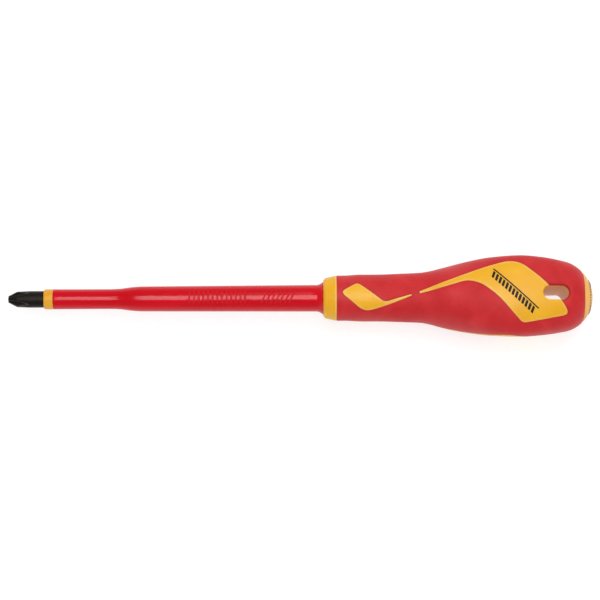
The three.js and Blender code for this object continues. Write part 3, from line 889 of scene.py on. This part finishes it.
def make_handle_body():
    # The station on the dome whose under-skin is level with the cap's seat.
    back = DOME_CENTRE + (CAP_SEAT - DOME_CENTRE) * DOME_RADIUS / (DOME_RADIUS - UNDER_SKIN)
    offsets = [-d for d in ISLAND_EDGE[0]]
    sheet = Sheet(
        COLLAR_BACK, back, FLASHES, offsets, SLOT_EDGE[0], flash_band=(-0.8, 0.55), slot_band=0.7
    )
    faces = sheet.faces[sheet.face_slot > 0]
    island = np.interp(-sheet.flash, *ISLAND_EDGE)
    depth = np.maximum(island, np.interp(sheet.slot, *SLOT_EDGE))
    skin = sheet.points(depth)
    # Its two ends meet the collar's back and the cap's seat on plain circles.
    shoulder_radius = float(mean_radius(COLLAR_BACK))
    under_radius = shoulder_radius - UNDER_SKIN
    under_dome = DOME_RADIUS - UNDER_SKIN
    seat_radius = math.sqrt(under_dome**2 - (CAP_SEAT - DOME_CENTRE) ** 2)
    for station, x, radius in ((COLLAR_BACK, COLLAR_BACK, under_radius), (back, CAP_SEAT, seat_radius)):
        end = np.abs(sheet.x - station) < Sheet.SAME
        skin[end] = round_axis(x, radius, sheet.angle[end])
    # The slot's wall joins its two mouths.
    mouth = np.unique(open_edges(faces).ravel())
    mouth = mouth[np.abs(sheet.slot[mouth]) < Sheet.SAME]
    turn = np.arctan2(skin[:, 1], skin[:, 0] - SLOT_CENTRE)
    loops = []
    for side in (skin[:, 2] > 0, skin[:, 2] < 0):
        members = mouth[side[mouth]]
        loops.append(members[np.argsort(turn[members])])
    near, far = loops
    tunnel = zipped(near, far, turn[near], turn[far])
    # Collar, front face and the hollow for the sleeve and the core.
    collar = [
        (COLLAR_BACK, under_radius),
        *((COLLAR_BACK - ahead, shoulder_radius - depth) for ahead, depth in COLLAR_SHOULDER),
        *((HANDLE_FRONT + behind, radius) for behind, radius in COLLAR_FRONT),
        (HANDLE_FRONT, SLEEVE_BORE + BORE_CHAMFER),
        (HANDLE_FRONT + BORE_CHAMFER, SLEEVE_BORE),
        (CORE_FRONT - GAP, SLEEVE_BORE),
    ]
    socket = [
        (CAP_SEAT, seat_radius),
        (CAP_SEAT, SOCKET_RADIUS),
        (SOCKET_FLOOR, SOCKET_RADIUS),
        (SOCKET_FLOOR, 0),
    ]
    # Painted light: a pale band along a flash's rim, and a paler slot wall.
    thin = np.maximum(
        painted_light_near(ISLAND_PAINTED_HIGHLIGHT, np.abs(sheet.flash)), painted_light_near(SLOT_WALL_PAINTED_LIGHT, np.abs(sheet.slot))
    )
    points, all_faces, edge = [skin], faces.tolist() + tunnel, [thin]
    count = len(skin)
    turns = Sheet.SEAM + np.arange(Sheet.ROUND) * 2 * math.pi / Sheet.ROUND
    front_rings = [turned_points(collar, Sheet.ROUND, Sheet.SEAM), *core_hollow(turns)]
    back_rings = [turned_points(socket, Sheet.ROUND, Sheet.SEAM)]
    for rings in (front_rings, back_rings):
        ring = np.concatenate(rings)
        all_faces += tube_faces(len(ring) // Sheet.ROUND, Sheet.ROUND, first=count)
        points.append(ring)
        # Painted highlight: a pale band along the collar's back rim.
        edge.append(COLLAR_PAINTED_HIGHLIGHT * (np.abs(ring[:, 0] - COLLAR_BACK) < COLLAR_HIGHLIGHT_WIDTH))
        count += len(ring)
    points, edge = np.concatenate(points), np.concatenate(edge)
    return piece("body_shell", points, all_faces, BODY_YELLOW, edge, crease=40)


soft_grip = make_soft_grip()
handle_body = make_handle_body()


# ---- End cap ----

SPIGOT_CHAMFER = 0.3
CAP_EDGE = 0.12
CAP_EDGE_LENGTH = 0.1
# The shallow dimple where the plastic came in and was cut off: depth below the dome's top, and radius.
GATE = [(0.02, 1.3), (0.16, 1.1), (0.2, 0)]
GATE_RIM = 1.5


def make_end_cap():
    angles = np.linspace(math.asin((CAP_RADIUS - CAP_EDGE) / DOME_RADIUS), 0, 22)
    dome = [(DOME_CENTRE + DOME_RADIUS * math.cos(a), DOME_RADIUS * math.sin(a)) for a in angles]
    spigot_end, spigot_radius = SOCKET_FLOOR + GAP, SOCKET_RADIUS - GAP
    profile = [
        (spigot_end, 0),
        (spigot_end, spigot_radius - SPIGOT_CHAMFER),
        (spigot_end + SPIGOT_CHAMFER, spigot_radius),
        (CAP_SEAT + GAP, spigot_radius),
        (CAP_SEAT + GAP, CAP_RADIUS),
        (DOME_START - CAP_EDGE_LENGTH, CAP_RADIUS),
        *(p for p in dome if p[1] > GATE_RIM),
        *((HANDLE_END - depth, radius) for depth, radius in GATE),
    ]
    return turned("cap_shell", profile, CAP_YELLOW)


end_cap = make_end_cap()


# ---- Insulation ----

# The sleeves run slim to the first station, widen to the second, and stay thick from there.
SLIM_END = 49.0
THICK_START = 63.6
RING_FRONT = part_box("inner_insulation")[0].x / MM
OUTER_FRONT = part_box("outer_insulation")[0].x / MM
OUTER_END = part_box("outer_insulation")[1].x / MM
RING_END = OUTER_FRONT - 0.02
SLIM_RADIUS = 4.76
THICK_RADIUS = 5.98
REAR_RADIUS = 6.38
FLARE_RADIUS = 7.85
FLARE_START = HANDLE_FRONT - GAP - 2.8
FLARE_LENGTH = 2.95
FLARE_POWER = 1.6
FLARE_FACE = HANDLE_FRONT - MOULDED_GAP
FLARE_CHAMFER = 0.2
TAIL_RADIUS = 6.0
# The outer sleeve's front: distance behind its end, and radius.
OUTER_LIP = [
    (0, 4.0), (0, 4.5), (0.08, 4.68), (0.3, 4.79), (0.7, 4.81), (4, 4.79), (12, SLIM_RADIUS),
    (20, SLIM_RADIUS),
]  # fmt: skip
# Radii where the sleeves are slim and where they are thick, and the sizes of the inner sleeve's ring.
OUTER_BORE = (4.0, 5.0)
INNER_OUTSIDE = (3.92, 4.8)
INNER_BORE = (3.15, 4.0)
INNER_BORE_FRONT = 17.5
NOSE_MOUTH = 3.72
NOSE_ROUNDING = 1.0
RING_CHAMFER = (0.15, 0.1)

# The taper eases in and out over this length, by these changes of radius.
TAPER_EASE = 3
TAPER_EASE_IN = 0.1
TAPER_EASE_OUT = 0.15

slim_taper = smooth_through(
    [
        (SLIM_END, SLIM_RADIUS),
        (SLIM_END + TAPER_EASE, SLIM_RADIUS + TAPER_EASE_IN),
        (THICK_START - TAPER_EASE, THICK_RADIUS - TAPER_EASE_OUT),
        (THICK_START, THICK_RADIUS),
    ]
)


def sleeve_radius(x):
    """The outer sleeve's radius behind its taper."""
    return THICK_RADIUS + (REAR_RADIUS - THICK_RADIUS) * (x - THICK_START) / (FLARE_START - THICK_START)


def make_outer_sleeve():
    taper = [(x, float(slim_taper(x))) for x in np.linspace(SLIM_END, THICK_START, 25)]
    straight = [(x, sleeve_radius(x)) for x in np.linspace(THICK_START, FLARE_START, 30)[1:]]
    flare = [
        (FLARE_START + share * FLARE_LENGTH, REAR_RADIUS + (FLARE_RADIUS - REAR_RADIUS) * share**FLARE_POWER)
        for share in np.linspace(0, 1, 9)[1:]
    ]
    profile = [
        *((OUTER_FRONT + behind, radius) for behind, radius in OUTER_LIP),
        *taper,
        *straight,
        *flare,
        (FLARE_FACE, FLARE_RADIUS - FLARE_CHAMFER),
        (FLARE_FACE, TAIL_RADIUS),
        (OUTER_END, TAIL_RADIUS),
        (OUTER_END, OUTER_BORE[1]),
        (THICK_START, OUTER_BORE[1]),
        (SLIM_END, OUTER_BORE[0]),
    ]
    return turned("outer_sleeve", profile, SLEEVE_RED, looped=True, crease=30)


def make_inner_sleeve():
    slim, thick = INNER_OUTSIDE
    slim_bore, thick_bore = INNER_BORE
    nose = [
        (RING_FRONT + NOSE_ROUNDING * (1 - math.cos(a)), thick - NOSE_ROUNDING * (1 - math.sin(a)))
        for a in np.radians(np.linspace(0, 90, 9))
    ]
    profile = [
        (RING_FRONT, NOSE_MOUTH),
        *nose,
        (RING_END - RING_CHAMFER[0], thick),
        (RING_END, thick - RING_CHAMFER[1]),
        (RING_END, slim),
        (SLIM_END, slim),
        (THICK_START, thick),
        (OUTER_END, thick),
        (OUTER_END, thick_bore),
        (THICK_START, thick_bore),
        (SLIM_END, slim_bore),
        (INNER_BORE_FRONT, slim_bore),
    ]
    return turned("inner_sleeve", profile, SLEEVE_YELLOW, looped=True)


outer_sleeve = make_outer_sleeve()
inner_sleeve = make_inner_sleeve()


# ---- Blade ----

BAR_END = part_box("blade")[1].x / MM
BAR_RADIUS = 3.95
TIP_FLAT = 1.6
TIP_SHOULDER = 4.15
NECKED_RADIUS = 3.1
NECK_START = 16.6
NECK_FULL = 17.45
BAR_CHAMFER = 1
TIP_LENGTH = 10.0
FLUTE_ROOT = 0.95
FLUTE_LENGTH = 9.5
# A flute's two sides: how fast they close on its middle, and how their meeting is rounded and flattened.
FLUTE_SIDE = 0.966
FLUTE_ROUNDING = 0.012
FLUTE_FLAT = 0.11
LEAST_OPENING = 0.02
UNCUT = 99
# Widths of the bare metal along the flutes' edges and at the tip.
EDGE_WEAR = 0.25
TIP_WEAR = 0.4
BLADE_SIDES = 192
BAR_PROFILE = [
    (0.0, TIP_FLAT - 0.12), (0.12, TIP_FLAT + 0.02), (TIP_SHOULDER - 0.2, 3.57), (TIP_SHOULDER + 0.2, 3.69),
    (TIP_LENGTH, BAR_RADIUS), (NECK_START, BAR_RADIUS), (NECK_FULL, NECKED_RADIUS), (SLIM_END, NECKED_RADIUS),
    (THICK_START, BAR_RADIUS), (BAR_END - BAR_CHAMFER, BAR_RADIUS), (BAR_END, BAR_RADIUS - BAR_CHAMFER),
]  # fmt: skip
# First and last station of each stretch, and how many stations it has.
BAR_STRETCHES = [(0, 10.5, 70), (10.5, NECK_START, 8), (18, BAR_END - BAR_CHAMFER, 30)]


def make_blade():
    """The bar, turned, with four milled flutes that run out along its tip."""
    sides = BLADE_SIDES
    bar_x, bar_radius = np.array(BAR_PROFILE).T
    stations = np.unique(np.concatenate([bar_x, *(np.linspace(*stretch) for stretch in BAR_STRETCHES)]))
    points = turned_points([(x, 1.0) for x in stations], sides)
    x = points[:, 0]
    bar = np.interp(x, bar_x, bar_radius)
    turn = np.arctan2(points[:, 1], points[:, 2])
    from_wing = (turn + math.pi / 4) % (math.pi / 2) - math.pi / 4
    from_flute = np.abs(np.abs(from_wing) - math.pi / 4)
    root = FLUTE_ROOT + (BAR_RADIUS - FLUTE_ROOT) * x / FLUTE_LENGTH
    side = FLUTE_SIDE * (np.sqrt(np.sin(from_flute) ** 2 + FLUTE_ROUNDING) - FLUTE_FLAT)
    opening = np.cos(from_flute) - side
    flute = np.where(opening > LEAST_OPENING, root / np.maximum(opening, LEAST_OPENING), UNCUT)
    radius = np.minimum(bar, flute)
    worn = np.exp(-(((flute - bar) / EDGE_WEAR) ** 2)) * (x < TIP_LENGTH)
    worn = worn + 0.5 * np.exp(-((x / TIP_WEAR) ** 2))
    points[:, 1] *= radius
    points[:, 2] *= radius
    caps = np.array([[0.0, 0.0, 0.0], [BAR_END, 0.0, 0.0]])
    front, last = len(points), (len(stations) - 1) * sides
    faces = tube_faces(len(stations), sides)
    faces += [((j + 1) % sides, j, front) for j in range(sides)]
    faces += [(last + j, last + (j + 1) % sides, front + 1) for j in range(sides)]
    edge = np.concatenate([np.clip(worn, 0, 1), [0.3, 0]])
    return piece("blade_bar", np.concatenate([points, caps]), faces, BLADE_STEEL, edge, crease=30)


blade = make_blade()


# ---- Rows of small bars: moulded marks and print ----


def bar_row_tree():
    """A row of small bars along X with sloping sides. Each bar lies across the row and leans by the slant."""
    tree = bpy.data.node_groups.new("bar_row", "GeometryNodeTree")
    kinds = {"Count": "NodeSocketInt", "Finish": "NodeSocketMaterial"}
    sockets = {}
    for label in ("Count", "Pitch", "Length", "Width", "Height", "Slant", "Finish"):
        kind = kinds.get(label, "NodeSocketFloat")
        sockets[label] = tree.interface.new_socket(label, in_out="INPUT", socket_type=kind).identifier
    tree.interface.new_socket("Geometry", in_out="OUTPUT", socket_type="NodeSocketGeometry")
    given = add(tree, "NodeGroupInput").outputs
    size = add(
        tree, "ShaderNodeCombineXYZ", {"X": given["Width"], "Y": given["Length"], "Z": given["Height"]}
    )
    block = add(
        tree, "GeometryNodeMeshCube", {"Size": size, "Vertices X": 3, "Vertices Y": 9, "Vertices Z": 2}
    )
    spot = add(tree, "ShaderNodeSeparateXYZ", {"Vector": add(tree, "GeometryNodeInputPosition")})
    is_top = add(tree, "ShaderNodeMath", {0: spot.outputs["Z"], 1: 0.0}, operation="GREATER_THAN")
    # The top is narrower than the foot by this share.
    inset = add(tree, "ShaderNodeMath", {0: is_top, 1: -0.3, 2: 1.0}, operation="MULTIPLY_ADD")
    narrow = add(tree, "ShaderNodeMath", {0: spot.outputs["X"], 1: inset}, operation="MULTIPLY")
    leaning = add(
        tree, "ShaderNodeMath", {0: spot.outputs["Y"], 1: given["Slant"], 2: narrow}, operation="MULTIPLY_ADD"
    )
    moved = add(tree, "ShaderNodeCombineXYZ", {"X": leaning, "Y": spot.outputs["Y"], "Z": spot.outputs["Z"]})
    bar = add(tree, "GeometryNodeSetPosition", {"Geometry": block, "Position": moved})
    step = add(tree, "ShaderNodeCombineXYZ", {"X": given["Pitch"]})
    line = add(tree, "GeometryNodeMeshLine", {"Count": given["Count"], "Offset": step}, mode="OFFSET")
    row = add(tree, "GeometryNodeInstanceOnPoints", {"Points": line, "Instance": bar})
    real = add(tree, "GeometryNodeRealizeInstances", {"Geometry": row})
    dressed = add(tree, "GeometryNodeSetMaterial", {"Geometry": real, "Material": given["Finish"]})
    add(tree, "NodeGroupOutput", {"Geometry": dressed})
    return tree, sockets


BAR_ROW, BAR_ROW_SOCKETS = bar_row_tree()


def bar_row(**sizes):
    """The points, in millimetres, and faces of a row made by the tree."""
    maker = bpy.data.objects.new("row_maker", bpy.data.meshes.new("row_maker"))
    scene.collection.objects.link(maker)
    modifier = maker.modifiers.new("bar_row", "NODES")
    modifier.node_group = BAR_ROW
    for label, value in sizes.items():
        modifier[BAR_ROW_SOCKETS[label]] = value
    made = bpy.data.meshes.new_from_object(maker.evaluated_get(bpy.context.evaluated_depsgraph_get()))
    points = np.array([tuple(v.co) for v in made.vertices])
    faces = [tuple(p.vertices) for p in made.polygons]
    maker.modifiers.remove(modifier)
    bpy.data.objects.remove(maker)
    bpy.data.meshes.remove(made)
    return points, faces


def joined(rows):
    """Several sets of points and faces as one."""
    points, faces, count = [], [], 0
    for row_points, row_faces in rows:
        points.append(row_points)
        faces += [tuple(i + count for i in face) for face in row_faces]
        count += len(row_points)
    return np.concatenate(points), faces


# The printed line's ends, in x and distance to +Y. It is made of short lengths that overlap.
PRINT_START, PRINT_END = np.array([230.2, 11.3]), np.array([250.6, -7.5])
PRINT_LENGTHS = 12
PRINT_OVERLAP = 1.42
PRINT_HEIGHT = 0.06
# Where the first leaning bar lies, along the line and under it.
PRINT_BARS = [1.7, 2.2, 0]


def make_print():
    """A slanting line with a row of leaning bars under it, printed on the face's flash."""
    length = float(np.hypot(*(PRINT_END - PRINT_START)))
    along = (PRINT_END - PRINT_START) / length
    below = np.array([along[1], -along[0]])
    pitch = length / PRINT_LENGTHS
    line_points, line_faces = bar_row(
        Count=PRINT_LENGTHS,
        Pitch=pitch,
        Length=0.62,
        Width=pitch * PRINT_OVERLAP,
        Height=PRINT_HEIGHT,
        Slant=0.0,
        Finish=PRINT_INK,
    )
    bar_points, bar_faces = bar_row(
        Count=13, Pitch=2.05, Length=2.9, Width=1.5, Height=PRINT_HEIGHT, Slant=0.4, Finish=PRINT_INK
    )
    points, faces = joined(
        [(line_points + [pitch / 2, 0, 0], line_faces), (bar_points + PRINT_BARS, bar_faces)]
    )
    plan = PRINT_START + points[:, :1] * along + points[:, 1:2] * below
    angle = angle_across(plan[:, 0], plan[:, 1])
    y, z = section(plan[:, 0], angle)
    spots = np.stack([plan[:, 0], y, z], axis=1) + points[:, 2:3] * skin_normal(plan[:, 0], angle)
    return piece("printed_marks", spots, faces, PRINT_INK)


# The first bar's station, how many bars, and their slant, for each group.
SLEEVE_GROUPS = [(86.5, 13, 0.0), (122.0, 7, 0.5)]


def make_sleeve_marks():
    """Two groups of raised bars, moulded on top of the sleeve."""
    groups = []
    for first, count, slant in SLEEVE_GROUPS:
        points, faces = bar_row(
            Count=count, Pitch=2.2, Length=6.4, Width=1.1, Height=0.5, Slant=slant, Finish=MARKS_RED
        )
        groups.append((points + [first, 0, 0], faces))
    points, faces = joined(groups)
    radius = sleeve_radius(points[:, 0])
    spots = round_axis(points[:, 0], radius + points[:, 2], points[:, 1] / radius)
    return piece("sleeve_marks", spots, faces, MARKS_RED)


TICK_RING_RADIUS = 7.4
TICKS = 36


def make_cap_ticks():
    """A ring of raised ticks round the cap's dome."""
    pitch = 2 * math.pi * TICK_RING_RADIUS / TICKS
    points, faces = bar_row(
        Count=TICKS, Pitch=pitch, Length=1.7, Width=0.65, Height=0.5, Slant=0.0, Finish=CAP_MARKS
    )
    tilt = math.asin(TICK_RING_RADIUS / DOME_RADIUS) + points[:, 1] / DOME_RADIUS
    out = DOME_RADIUS + points[:, 2]
    turn = points[:, 0] / TICK_RING_RADIUS
    spots = round_axis(DOME_CENTRE + out * np.cos(tilt), out * np.sin(tilt), turn)
    return piece("cap_ticks", spots, faces, CAP_MARKS)


printed_marks = make_print()
sleeve_marks = make_sleeve_marks()
cap_ticks = make_cap_ticks()


# ---- Pieces on their frame ----

for made, nodes, finish_slot in (
    (blade, ["blade"], "blade_steel"),
    (inner_sleeve, ["inner_insulation"], "inner_sleeve_plastic"),
    (outer_sleeve, ["outer_insulation"], "outer_sleeve_plastic"),
    (handle_body, ["handle_body"], "body_plastic"),
    (soft_grip, ["soft_grip"], "grip_elastomer"),
    (end_cap, ["end_cap"], "cap_plastic"),
    (sleeve_marks, [], "outer_sleeve_plastic"),
    (cap_ticks, [], "cap_plastic"),
    (printed_marks, [], None),
):
    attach(made, "root")
    if nodes:
        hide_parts(*nodes)

anchor_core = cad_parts["anchor_core"]
anchor_core.data.materials.clear()
anchor_core.data.materials.append(CORE_GREY)


# ---- Floor, light and camera ----

FLOOR_LEVEL = cad_box[0].z
FLOOR_SIZE = 6.0


def make_floor():
    mesh = bpy.data.meshes.new("floor")
    half = FLOOR_SIZE / 2
    corners = [(-half, -half), (half, -half), (half, half), (-half, half)]
    mesh.from_pydata([(x, y, FLOOR_LEVEL) for x, y in corners], [], [(0, 1, 2, 3)])
    mesh.materials.append(lit_table())
    floor = bpy.data.objects.new("floor", mesh)
    scene.collection.objects.link(floor)


def soft_box(name, place, target, size, power):
    light = bpy.data.lights.new(name, "AREA")
    light.shape = "RECTANGLE"
    light.size, light.size_y = size
    light.energy = power
    holder = bpy.data.objects.new(name, light)
    holder.location = place
    holder.rotation_mode = "QUATERNION"
    holder.rotation_quaternion = (Vector(target) - Vector(place)).to_track_quat("-Z", "Y")
    scene.collection.objects.link(holder)


make_floor()
LIGHTS_AIM = (0.16, 0.0, 0.0)
soft_box("overhead_box", (0.16, 0.02, 1.4), LIGHTS_AIM, (0.7, 0.9), 12.0)
soft_box("side_key", (0.6, 0.9, 1.2), LIGHTS_AIM, (1.0, 0.8), 4.8)


def make_world():
    """Pale walls round the table, with a dimmer ceiling above them."""
    world = bpy.data.worlds.new("studio")
    world.use_nodes = True
    tree = world.node_tree
    tree.nodes.clear()
    heading = add(tree, "ShaderNodeTexCoord").outputs["Generated"]
    height = add(tree, "ShaderNodeSeparateXYZ", {"Vector": heading}).outputs["Z"]
    walls = add(
        tree,
        "ShaderNodeValToRGB",
        {"Fac": height},
        stops=[(0.02, "#FFFFFF"), (0.2, "#D2D2D2"), (0.85, "#A0A0A0")],
    )
    background = add(tree, "ShaderNodeBackground", {"Color": walls, "Strength": 0.8})
    add(tree, "ShaderNodeOutputWorld", {"Surface": background})
    scene.world = world


make_world()

CAMERA_ELEVATION = math.radians(81.5)
CAMERA_DISTANCE = 1.0674
CAMERA_AIM = Vector((0.1389, -0.00080, 0.0))
CAMERA_ROLL = math.radians(0.227)
SENSOR_WIDTH = 36.0
FOCAL_LENGTH = 134.4


def make_camera():
    lens = bpy.data.cameras.new("camera")
    lens.sensor_width = SENSOR_WIDTH
    lens.lens = FOCAL_LENGTH
    camera = bpy.data.objects.new("camera", lens)
    back = Vector((0, -math.cos(CAMERA_ELEVATION), math.sin(CAMERA_ELEVATION)))
    camera.location = CAMERA_AIM + back * CAMERA_DISTANCE
    turn = (-back).to_track_quat("-Z", "Y").to_matrix().to_4x4() @ Matrix.Rotation(-CAMERA_ROLL, 4, "Z")
    camera.rotation_mode = "QUATERNION"
    camera.rotation_quaternion = turn.to_quaternion()
    lens.clip_start, lens.clip_end = 0.01, 50.0
    scene.collection.objects.link(camera)
    scene.camera = camera


make_camera()
scene.view_settings.view_transform = "Standard"
